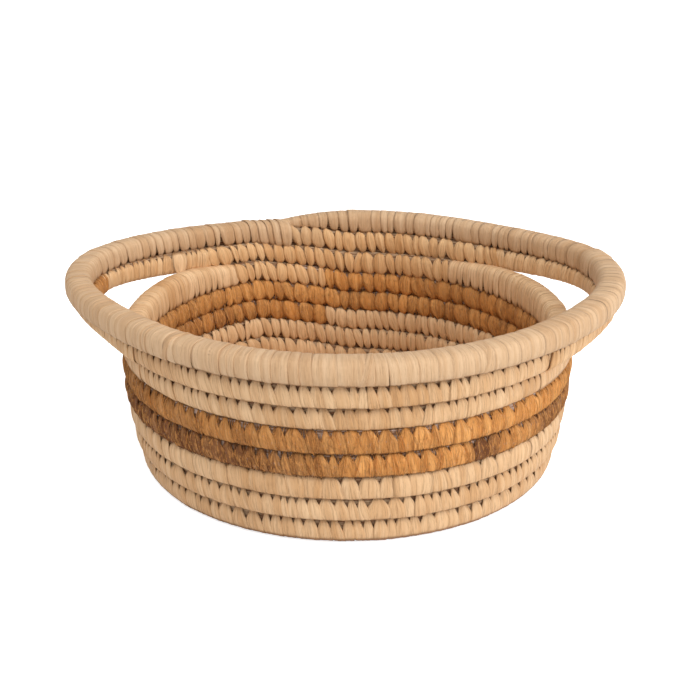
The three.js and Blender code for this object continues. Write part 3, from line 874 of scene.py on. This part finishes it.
class BASKET_OT_rope(Operator):
    """The grass rope that every strap is wound over, as a bundle of stems"""

    bl_idname = "basket.rope"
    bl_label = "Grass rope"

    STEMS = 16
    STEM_DEPTH = 0.06
    SQUARED = 0.45
    INSET = 1.4 * MM
    PRESSED = 0.7 * MM  # how far the stems of one row are pressed into the next
    RING_STEP = 4 * MM

    def execute(self, context):
        coil = Coil(context.scene.basket_sizes)
        angles = self.ring_angles(coil)
        centre, outward, half_width, half_height = coil.section(angles)
        corner = np.arange(self.STEMS) / self.STEMS * 2 * math.pi
        flute = 1 - self.STEM_DEPTH * (np.arange(self.STEMS) % 2)
        side = np.sign(np.cos(corner)) * np.abs(np.cos(corner)) ** self.SQUARED * flute
        rise = np.sign(np.sin(corner)) * np.abs(np.sin(corner)) ** self.SQUARED * flute
        below, above = self.reaches(coil, angles)
        reach = half_height[:, None] + np.where(rise > 0, above[:, None], below[:, None])
        points = centre[:, None] + outward[:, None] * (side * (half_width[:, None] - self.INSET))[..., None]
        points[..., 2] += rise * reach
        grain = np.empty(points.shape[:2] + (2,))
        grain[..., 0] = np.arange(self.STEMS) * 2.0
        grain[..., 1] = np.arange(len(angles))[:, None] * self.RING_STEP / MM
        level = self.levels(coil, angles)
        look = np.zeros(points.shape[:2] + (4,))
        look[..., 3] = ((level > coil.bark_turn - 0.5) & (level < coil.shoulder_turn - 0.5))[:, None]
        weave = Weave(coil, 1)
        weave.groups.append((points[None], grain[None], look[None]))
        mesh = weave.mesh("grass_rope_stems")
        place("grass_rope_stems", mesh, materials_of(context.scene)["grass"], "grass", "grass_rope")
        return {"FINISHED"}

    def levels(self, coil, angles):
        """The row that the rope is on at each angle, with parts of a row in a step."""
        turn, done = coil.step_at(angles)
        return turn - 1 + done

    def reaches(self, coil, angles):
        """How far the stems reach past the row's underside and its top.

        They keep clear of an underside or a top that no other row covers.
        """
        level = self.levels(coil, angles)
        out = coil.out_of_wall(angles)
        at_row = lambda row: np.clip(1 - np.abs(level - row), 0, 1)
        handle_out = np.clip(3 * out - 1.2, 0, 1)
        gap_open = np.clip(10 * out - 0.2, 0, 1)
        bare_below = np.clip(coil.foot_turn + 1 - level, 0, 1) + at_row(coil.under_rim_turn) * handle_out
        bare_above = np.clip(coil.foot_turn - level, 0, 1) + at_row(coil.shoulder_turn) * gap_open
        bare_above = bare_above + np.clip(level - coil.under_rim_turn, 0, 1)
        return mix(self.PRESSED, -self.INSET, bare_below), mix(self.PRESSED, -self.INSET, bare_above)

    def ring_angles(self, coil):
        angles = [TURN + 60.0]
        last = TURN * (coil.rim_turn + 1) + END_TIP - 1
        while angles[-1] < last:
            radius = float(coil.shape(np.array(angles[-1]))[0])
            angles.append(angles[-1] + math.degrees(self.RING_STEP / radius))
        return np.array(angles)


class BASKET_OT_base(Operator):
    """The straps over the turns of the base"""

    bl_idname = "basket.base"
    bl_label = "Base"

    START = 40  # where the rope is just thick enough to be wrapped

    def execute(self, context):
        sizes = context.scene.basket_straps
        coil = Coil(context.scene.basket_sizes)
        palm = materials_of(context.scene)["palm_strip"]
        style = StrapStyle(
            steps=20, lean=-sizes.palm_pitch, crown=0.3 * MM, tip_crown=0.3 * MM, hem=0, tips=0
        )
        for turn in range(coil.foot_turn):
            name = f"base_wrap_{turn}" if turn else "start_wrap"
            weave = Weave(coil, 100 + turn, sizes.thickness)
            start = join_of(turn) if turn else self.START
            weave.lay(weave.spread(start, join_of(turn + 1), sizes.palm_pitch), BASE_ROUND, style)
            place(name.replace("wrap", "straps"), weave.mesh(name), palm, "palm_strip", name)
        return {"FINISHED"}


# How the petals inside differ from the straps outside
PETALS = {
    "crown": 0.55 * MM, "tip_crown": 0.5 * MM, "hem": 0.2 * MM, "tips": 0.6, "merged": 0.0, "tilt": 0.2 * MM,
    "fold": 0.32 * MM, "lean": 2.6 * MM, "sway": 1.6 * MM,
}


def lay_wall(weave, start, end, pitch, inside_pitch, style, outside=WALL_OUTSIDE, tone=None, inside_shade=1):
    """The straps of a stretch of a wall row, outside and inside. Palm leaf outside has a tone of 0; inside,
    its tone is its share of painted shade.
    """
    petals = replace(style, **PETALS)
    for profile, gap, kind in ((outside, pitch, style), (WALL_INSIDE, inside_pitch, petals)):
        straps = weave.spread(start, end, gap, 0.22)
        if tone is None:
            tones = np.full(len(straps[0]), inside_shade * float(profile is WALL_INSIDE))
        else:
            tones = tone(straps[0], weave.rng)
        weave.lay(straps, profile, kind, tones)


STRAY = StrapStyle(
    steps=10, crown=0.25 * MM, tip_crown=0.25 * MM, fold=0, tilt=0, loose=0.12 * MM, lean=1.5 * MM,
    sway=2 * MM, tips=0.5, merged=0, hem=0.4 * MM, lift=0.15 * MM,
)
STRAY_WIDTH = 0.45 * MM


def lay_strays(weave, start, end, pitch, profiles, tone=None):
    """Loose fibres, thin as hair, that run over the straps."""
    for profile in profiles:
        middles, widths = weave.spread(start, end, pitch, 0.5)
        tones = None if tone is None else tone(middles, weave.rng)
        weave.lay((middles, np.full_like(widths, STRAY_WIDTH)), profile, STRAY, tones, Weave.FIBRE_CROSS)


GAP_SPREADS = 2.6  # how many of its spreads a handle's gap reaches to each side


def gap_of(handle):
    """The angles between which a handle leaves the top of the row below it bare."""
    back, front = (GAP_SPREADS * handle["under_rim"][side] for side in ("back", "front"))
    if handle["front_is"] < 0:
        back, front = front, back
    return handle["middle"] - back, handle["middle"] + front


class BASKET_OT_wall(Operator):
    """The straps of palm leaf over the rows of the wall"""

    bl_idname = "basket.wall"
    bl_label = "Wall rows"

    STEPPED_OUT = 142  # where the foot row lies wholly under the next row
    STITCHED = 122  # up to where stitches close the slit at the foot row's step
    STITCH_LIFT = 1.1 * MM

    def execute(self, context):
        sizes = context.scene.basket_straps
        coil = Coil(context.scene.basket_sizes)
        palm = materials_of(context.scene)["palm_strip"]
        style = StrapStyle()
        rows = [
            ("foot_row_wrap", coil.foot_turn, sizes.palm_pitch * 1.1, FOOT_OUTSIDE),
            ("lower_row_wrap_1", coil.foot_turn + 1, sizes.palm_pitch, WALL_OUTSIDE),
            ("lower_row_wrap_2", coil.foot_turn + 2, sizes.palm_pitch * 1.7, BROAD_OUTSIDE),
        ]
        for node, turn, pitch, outside in rows:
            weave = Weave(coil, 200 + turn, sizes.thickness)
            start, end = join_of(turn), join_of(turn + 1)
            if turn == coil.foot_turn:
                stepped = TURN * turn + self.STEPPED_OUT
                weave.lay(weave.spread(start, stepped, pitch), BASE_ROUND, replace(style, steps=20))
                stitches = weave.spread(start, TURN * turn + self.STITCHED, pitch)
                weave.lay(stitches, BASE_ROUND, replace(style, steps=20, lift=self.STITCH_LIFT))
                start = stepped
            # the lower rows get less of the painted inside shade
            lay_wall(weave, start, end, pitch, sizes.inside_pitch, style, outside, inside_shade=0.3)
            lay_strays(weave, start, end, sizes.palm_pitch * 2, (WALL_INSIDE,))
            place(node.replace("wrap", "straps"), weave.mesh(node), palm, "palm_strip", node)
        self.lay_shoulder(coil, sizes, style, palm)
        return {"FINISHED"}

    def lay_shoulder(self, coil, sizes, style, palm):
        """The row below the handles, with its leaf taken over its bare top in their gaps."""
        turn = coil.shoulder_turn
        weave = Weave(coil, 200 + turn, sizes.thickness)
        start = join_of(turn)
        for handle in HANDLES:
            gap_start, gap_end = (TURN * turn + angle for angle in gap_of(handle))
            lay_wall(weave, start, gap_start, sizes.palm_pitch, sizes.inside_pitch, style)
            over = replace(style, steps=20, lean=2 * MM)
            weave.lay(weave.spread(gap_start, gap_end, sizes.palm_pitch), RIM_OVER, over)
            start = gap_end
        lay_wall(weave, start, join_of(turn + 1), sizes.palm_pitch, sizes.inside_pitch, style)
        mesh = weave.mesh("shoulder_row")
        place("shoulder_row_straps", mesh, palm, "palm_strip", "shoulder_row_wrap")


# How dark the bark is at angles along its row, from 0 for golden to 1 for dark grey-brown
LOWER_BARK_TONES = (
    (97, 0.3), (180, 0.6), (200, 0.9), (245, 0.85), (258, 0.65), (266, 0.4), (272, 0.0), (297.5, 0.0),
    (300.5, 0.95), (304.5, 0.95), (308, 0.1), (318, 0.3), (325, 0.75), (338, 0.75), (347, 0.35), (457, 0.3),
)
UPPER_BARK_TONES = (
    (97, 0.1), (150, 0.35), (200, 0.5), (240, 0.4), (262, 0.35), (285, 0.15), (298, 0.0), (318, 0.0),
    (345, 0.2), (365, 0.35), (400, 0.25), (457, 0.12),
)


def tone_at(tones, angle, rng):
    """The tone of each strap of bark, a little apart from its neighbours'."""
    known, tone = np.array(tones).T
    past = (angle - known[0]) % TURN + known[0]
    return np.clip(np.interp(past, known, tone) + rng.normal(0, 0.1, len(angle)), 0, 1)


class BASKET_OT_bark(Operator):
    """The straps of bark over two rows of the wall, and the loose fibres on them"""

    bl_idname = "basket.bark"
    bl_label = "Bark rows"

    FIBRES = 6  # loose fibres on each strap

    def execute(self, context):
        sizes = context.scene.basket_straps
        coil = Coil(context.scene.basket_sizes)
        materials = materials_of(context.scene)
        rows = (("dark_bark", LOWER_BARK_TONES), ("amber_bark", UPPER_BARK_TONES))
        style = StrapStyle(
            steps=16, crown=0.06 * MM, tip_crown=0.4 * MM, fold=0.18 * MM, loose=0.08 * MM, lean=2.0 * MM,
            sway=0.9 * MM, tips=0.35, merged=0.12, hem=0.5 * MM,
        )
        for i, (slot, tones) in enumerate(rows):
            turn = coil.bark_turn + i
            node = f"bark_row_wrap_{i + 1}"
            weave = Weave(coil, 300 + i, sizes.thickness)
            tone = lambda angle, rng: tone_at(tones, angle, rng)
            start, end = join_of(turn), join_of(turn + 1)
            lay_wall(weave, start, end, sizes.bark_pitch, sizes.inside_pitch * 1.4, style, tone=tone)
            lay_strays(weave, start, end, sizes.bark_pitch / self.FIBRES, (WALL_OUTSIDE, WALL_INSIDE), tone)
            place(f"bark_row_straps_{i + 1}", weave.mesh(node), materials[slot], slot, node)
        return {"FINISHED"}


class BASKET_OT_top(Operator):
    """The leaf over the row below the rim, over the rim, and round both handles"""

    bl_idname = "basket.top"
    bl_label = "Rim and handles"

    OVERLAP = 2.5  # how far the leaf round a handle runs on over the wall's
    TIP_BINDINGS = 4
    TIP_LIFT = 2.4 * MM
    BINDING_STEP = 2.2
    BARK_PATCH = (167.5, 181)
    BINDING_ANGLES = (145,)
    CREASES = (118.5, 274.5, 231, 300)
    CREASE_WIDTH = 2.2 * MM
    BINDING_WIDTH = 9 * MM

    def execute(self, context):
        sizes = context.scene.basket_straps
        coil = Coil(context.scene.basket_sizes)
        materials = materials_of(context.scene)
        rows = [
            ("under_rim", "lower", coil.under_rim_turn, "palm_strip"),
            ("rim", "upper", coil.rim_turn, "rim_palm"),
        ]
        for row, part, turn, slot in rows:
            whole = TURN * turn
            left, right = LEFT_HANDLE, RIGHT_HANDLE
            last = join_of(turn + 1)
            if row == "rim":
                last = TURN * (turn + 1) + STEP_MIDDLE - STEP_SPAN / 2
            stretches = [
                (f"{row}_back_left", join_of(turn), whole + left["start"]),
                (f"left_handle_{part}", whole + left["start"], whole + left["end"]),
                (f"{row}_front", whole + left["end"], whole + right["start"]),
                (f"right_handle_{part}", whole + right["start"], whole + right["end"]),
                (f"{row}_back", whole + right["end"], last),
            ]
            over = StrapStyle(
                steps=24, crown=0.03 * MM, tip_crown=0.4 * MM, fold=0.05 * MM, tilt=0.12 * MM, lean=2 * MM,
                hem=0.4 * MM,
            )
            around = StrapStyle(
                steps=30, crown=0.2 * MM, tip_crown=0.2 * MM, lean=-sizes.ring_pitch, tips=0, merged=0, hem=0,
                lift=0.45 * MM,
            )
            for i, (name, start, end) in enumerate(stretches):
                weave = Weave(coil, 400 + 10 * turn + i, sizes.thickness)
                if row == "rim":
                    if i == 0:
                        held = whole + END_TIP - self.BINDING_STEP
                        lay_wall(weave, start, held, sizes.palm_pitch, sizes.inside_pitch, StrapStyle())
                        start = held
                    weave.lay(weave.spread(start, end, sizes.rim_pitch, 0.3), RIM_OVER, over)
                elif "handle" in name:
                    rings = weave.spread(start - self.OVERLAP, end + self.OVERLAP, sizes.ring_pitch, 0.3)
                    # the rings round the handles get half of the painted inside shade
                    weave.lay(rings, HANDLE_ROUND, around, np.full(len(rings[0]), 0.5))
                else:
                    lay_wall(weave, start, end, sizes.palm_pitch, sizes.inside_pitch, StrapStyle())
                place(f"{name}_straps", weave.mesh(name), materials[slot], slot, f"{name}_wrap")
        self.creases(coil, sizes, materials, over)
        self.end_taper(coil, sizes, materials, over)
        self.handle_details(coil, sizes, materials)
        return {"FINISHED"}

    def creases(self, coil, sizes, materials, style):
        """Narrow leaves that cross the others on the rim."""
        weave = Weave(coil, 720, sizes.thickness)
        middles = TURN * coil.rim_turn + np.array(self.CREASES)
        straps = middles, np.full(len(middles), self.CREASE_WIDTH)
        weave.lay(straps, RIM_OVER, replace(style, lift=0.25 * MM, lean=-7 * MM, merged=0))
        place("rim_crossing_leaves", weave.mesh("rim_creases"), materials["rim_palm"], "rim_palm")

    def end_taper(self, coil, sizes, materials, style):
        """The leaf over the tapered end of the rope, and the bindings that hold its tip down."""
        whole = TURN * (coil.rim_turn + 1)
        weave = Weave(coil, 600, sizes.thickness)
        start = whole + STEP_MIDDLE - STEP_SPAN / 2
        weave.lay(weave.spread(start, whole + END_TIP, sizes.rim_pitch, 0.3), RIM_OVER, style)
        for i in range(self.TIP_BINDINGS):
            held = TURN * coil.rim_turn + END_TIP + self.BINDING_STEP * (i - 0.1)
            lift = self.TIP_LIFT * (1 - i / self.TIP_BINDINGS)
            binding = np.array([held]), np.array([sizes.rim_pitch * 1.2])
            weave.lay(binding, RIM_OVER, replace(style, lift=lift))
        place("rim_end_straps", weave.mesh("rim_end"), materials["rim_palm"], "rim_palm", "rim_end_wrap")

    def handle_details(self, coil, sizes, materials):
        """The band of bark round the left handle's lower row, and the binding at its back end."""
        whole = TURN * coil.under_rim_turn
        weave = Weave(coil, 700, sizes.thickness)
        patch = StrapStyle(
            steps=26, crown=0.3 * MM, tip_crown=0.3 * MM, fold=0.2 * MM, loose=0.15 * MM, tips=0, merged=0,
            lift=0.9 * MM,
        )
        start, end = (whole + angle for angle in self.BARK_PATCH)
        straps = weave.spread(start, end, sizes.ring_pitch * 0.7, 0.3)
        weave.lay(straps, HANDLE_ROUND, patch, np.full(len(straps[0]), 0.35))
        mesh = weave.mesh("handle_bark")
        place("left_handle_bark_patch", mesh, materials["amber_bark"], "amber_bark")
        weave = Weave(coil, 710, sizes.thickness)
        middles = whole + np.array(self.BINDING_ANGLES)
        straps = middles, np.full(len(middles), self.BINDING_WIDTH)
        binding = StrapStyle(crown=0.3 * MM, tip_crown=0.3 * MM, lift=0.8 * MM, lean=-1.5 * MM, merged=0)
        weave.lay(straps, BINDING, binding)
        place("handle_bindings", weave.mesh("bindings"), materials["palm_strip"], "palm_strip")


class BASKET_OT_knot(Operator):
    """The small wrapped knot in the middle of the base"""

    bl_idname = "basket.knot"
    bl_label = "Knot"

    LOBES = 9
    LOBE_POINTS = 6
    LOBE_DEPTH = 0.12
    PUFF = 1.03
    RINGS = 14

    def execute(self, context):
        low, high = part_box("centre_knot")
        radius = (high[0] - low[0]) / 2 * self.PUFF
        height = high[2] - low[2]
        around = np.arange(self.LOBES * self.LOBE_POINTS) / (self.LOBES * self.LOBE_POINTS) * 2 * math.pi
        lobes = 1 - self.LOBE_DEPTH * np.abs(np.sin(around * self.LOBES / 2)) ** 6
        falling = np.linspace(0.06, 1, self.RINGS)[:, None] * math.pi
        out = radius * np.sin(falling) ** 0.7 * mix(1, lobes, np.sin(falling))
        rise = np.sign(np.cos(falling)) * np.abs(np.cos(falling)) ** 0.6
        points = np.empty((self.RINGS, len(around), 3))
        points[..., 0] = out * np.cos(around)
        points[..., 1] = out * np.sin(around)
        points[..., 2] = low[2] + height / 2 * (1 + rise)
        grain = np.empty(points.shape[:2] + (2,))
        grain[..., 0] = around * radius / MM
        grain[..., 1] = falling * radius / MM
        look = np.full(points.shape[:2] + (4,), (0.5, 0.5, 0.5, 0.0))
        weave = Weave(None, 1)
        weave.groups.append((points[None, ::-1], grain[None, ::-1], look[None]))
        palm = materials_of(context.scene)["palm_strip"]
        place("centre_knot_straps", weave.mesh("centre_knot"), palm, "palm_strip", "centre_knot")
        return {"FINISHED"}


CAMERA_PLACE = (0, -575.9 * MM, 286.6 * MM)
CAMERA_TARGET = (0, 0, 50 * MM)
CAMERA_LENS = 59.28
CAMERA_SHIFT_Y = 0.0151
FLOOR_SIZE = 6
FLOOR_COLOUR = (0.9, 0.9, 0.9, 1)
FLOOR_GLOW = 0.7
FLOOR_DROP = 0.2 * MM  # how far the floor lies below the underside
ROOM_LIGHT = 0.61
# Each lamp's place, size and power
LAMPS = {
    "key_lamp": ((1.8, -0.8, 1.0), 1.0, 26),
    "fill_lamp": ((-0.9, -1.5, 0.9), 1.0, 1.5),
    "top_lamp": ((0, -0.9, 1.6), 1.2, 13),
}


class BASKET_OT_stage(Operator):
    """The white floor, the lamps and the camera"""

    bl_idname = "basket.stage"
    bl_label = "Stage"

    def execute(self, context):
        scene = context.scene
        scene.view_settings.view_transform = "Standard"
        self.make_floor(context)
        self.make_world(scene)
        for name, (place_at, size, power) in LAMPS.items():
            self.make_lamp(name, place_at, size, power)
        self.make_camera(scene)
        return {"FINISHED"}

    def make_floor(self, context):
        mesh = bpy.data.meshes.new("floor")
        half = FLOOR_SIZE / 2
        corners = [(-half, -half, 0), (half, -half, 0), (half, half, 0), (-half, half, 0)]
        mesh.from_pydata(corners, [], [(0, 1, 2, 3)])
        floor = bpy.data.objects.new("floor", mesh)
        context.scene.collection.objects.link(floor)
        floor.location.z = -FLOOR_DROP
        material = bpy.data.materials.new("floor_white")
        material.use_nodes = True
        tree = material.node_tree
        shader = tree.nodes["Principled BSDF"]
        shader.inputs["Base Color"].default_value = FLOOR_COLOUR
        shader.inputs["Roughness"].default_value = 0.9
        shader.inputs["Specular IOR Level"].default_value = 0
        shader.inputs["Emission Color"].default_value = (1, 1, 1, 1)
        path = add_node(tree, "ShaderNodeLightPath")
        glow = calculate(tree, "MULTIPLY", path.outputs["Is Camera Ray"], FLOOR_GLOW)
        feed(tree, shader.inputs["Emission Strength"], glow)
        mesh.materials.append(material)

    def make_world(self, scene):
        world = bpy.data.worlds.new("white_room")
        scene.world = world
        world.use_nodes = True
        tree = world.node_tree
        background = tree.nodes["Background"]
        background.inputs["Color"].default_value = (1, 1, 1, 1)
        path = add_node(tree, "ShaderNodeLightPath")
        seen = calculate(tree, "MULTIPLY", path.outputs["Is Camera Ray"], 1 - ROOM_LIGHT)
        feed(tree, background.inputs["Strength"], calculate(tree, "ADD", seen, ROOM_LIGHT))

    def make_lamp(self, name, place_at, size, power):
        lamp = bpy.data.lights.new(name, "AREA")
        lamp.size = size
        lamp.energy = power
        made = bpy.data.objects.new(name, lamp)
        bpy.context.scene.collection.objects.link(made)
        made.location = place_at
        made.rotation_euler = (-Vector(place_at)).to_track_quat("-Z", "Y").to_euler()

    def make_camera(self, scene):
        camera = bpy.data.cameras.new("camera")
        camera.sensor_width = 36
        camera.lens = CAMERA_LENS
        camera.shift_y = CAMERA_SHIFT_Y
        made = bpy.data.objects.new("camera", camera)
        scene.collection.objects.link(made)
        made.location = CAMERA_PLACE
        towards = Vector(CAMERA_TARGET) - Vector(CAMERA_PLACE)
        made.rotation_euler = towards.to_track_quat("-Z", "Y").to_euler()
        scene.camera = made


class BASKET_PT_panel(Panel):
    """Buttons for each part of the basket"""

    bl_idname = "BASKET_PT_panel"
    bl_label = "Coiled Bread Basket"
    bl_space_type = "VIEW_3D"
    bl_region_type = "UI"
    bl_category = "Basket"

    def draw(self, context):
        layout = self.layout
        for group in (context.scene.basket_sizes, context.scene.basket_straps, context.scene.basket_colours):
            box = layout.box()
            for name in group.__annotations__:
                box.prop(group, name)
        for operator in OPERATORS:
            layout.operator(operator.bl_idname)


GROUPS = {"basket_sizes": BasketSizes, "basket_straps": StrapSizes, "basket_colours": BasketColours}
OPERATORS = (
    BASKET_OT_stage,
    BASKET_OT_rope,
    BASKET_OT_knot,
    BASKET_OT_base,
    BASKET_OT_wall,
    BASKET_OT_bark,
    BASKET_OT_top,
)
CLASSES = (*GROUPS.values(), *OPERATORS, BASKET_PT_panel)


def register():
    for made in CLASSES:
        bpy.utils.register_class(made)
    for name, group in GROUPS.items():
        setattr(bpy.types.Scene, name, PointerProperty(type=group))


def unregister():
    for name in GROUPS:
        delattr(bpy.types.Scene, name)
    for made in reversed(CLASSES):
        bpy.utils.unregister_class(made)


def main():
    register()
    bpy.ops.basket.stage()
    bpy.ops.basket.rope()
    bpy.ops.basket.knot()
    bpy.ops.basket.base()
    bpy.ops.basket.wall()
    bpy.ops.basket.bark()
    bpy.ops.basket.top()


if __name__ == "__main__":
    main()
